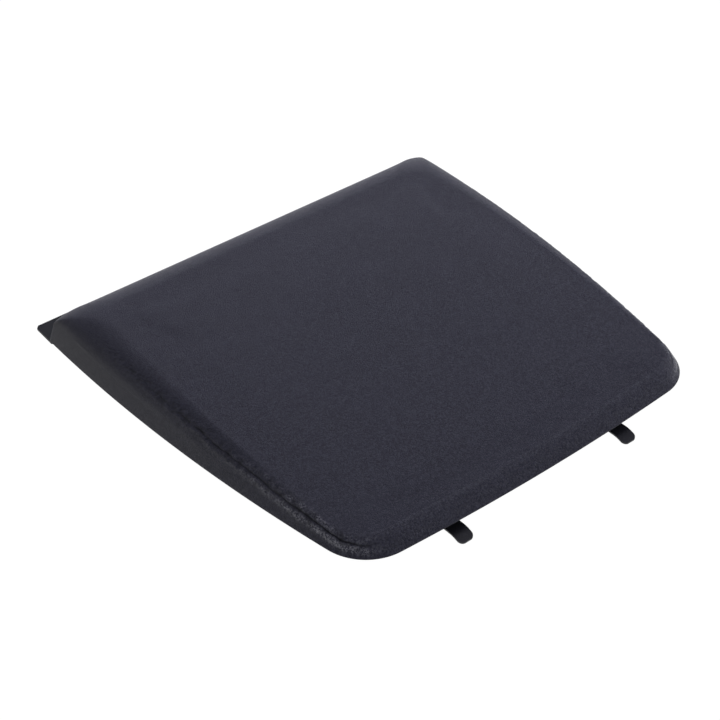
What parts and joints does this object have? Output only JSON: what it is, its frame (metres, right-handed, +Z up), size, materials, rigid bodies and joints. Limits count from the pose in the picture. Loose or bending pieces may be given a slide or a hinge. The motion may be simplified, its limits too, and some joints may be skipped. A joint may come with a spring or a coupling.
{
  "type": "clip-on armrest pad",
  "caption": "Wedge-shaped padded armrest top on a dished base, with a rear flange and sprung hook tongues at its narrow end.",
  "frame": {"origin": "on the plane under the rubber feet, at the middle of the part's width and length", "axes": "+Z up out of the cover, +Y towards the wide end and its flange, +X to the right when looking along +Y"},
  "size_m": [0.2378, 0.2418, 0.0359],
  "materials": {
    "leatherette": "satin grained leatherette, near black",
    "foam": "matte moulded foam",
    "carrier_plastic": "matte moulded plastic",
    "base_plastic": "matte spark-textured moulded plastic",
    "coated_spring_steel": "matte black coating",
    "keeper_plastic": "matte moulded plastic",
    "screw_steel": "satin zinc plating",
    "staple_steel": "satin galvanised wire",
    "insert_brass": "satin turned brass",
    "foot_rubber": "matte rubber",
    "felt": "matte needled felt"
  },
  "bodies": {
    "pad": {"cover_skin": "leatherette", "foam_pad": "foam", "carrier_shell": "carrier_plastic", "base_plate": "base_plastic", "left_tongue_keeper": "keeper_plastic", "right_tongue_keeper": "keeper_plastic", "tongue_keeper_screws": "screw_steel", "base_screws": "screw_steel", "hem_staples": "staple_steel", "rear_inserts": "insert_brass", "front_left_foot": "foot_rubber", "front_right_foot": "foot_rubber", "rear_left_foot": "foot_rubber", "rear_right_foot": "foot_rubber", "flange_felt_strip": "felt", "front_felt_strip": "felt"},
    "left_tongue": {"left_hook_tongue": "coated_spring_steel"},
    "right_tongue": {"right_hook_tongue": "coated_spring_steel"}
  },
  "joints": [
    {"name": "left_tongue_flex", "type": "hinge", "parent": "pad", "child": "left_tongue", "pos_m": [-0.0505, -0.0886, 0.0093], "axis": [1, 0, 0], "range_deg": [-3, 3], "stiffness_Nm_per_rad": 7.4},
    {"name": "right_tongue_flex", "type": "hinge", "parent": "pad", "child": "right_tongue", "pos_m": [0.0505, -0.0886, 0.0093], "axis": [1, 0, 0], "range_deg": [-3, 3], "stiffness_Nm_per_rad": 7.4}
  ]
}
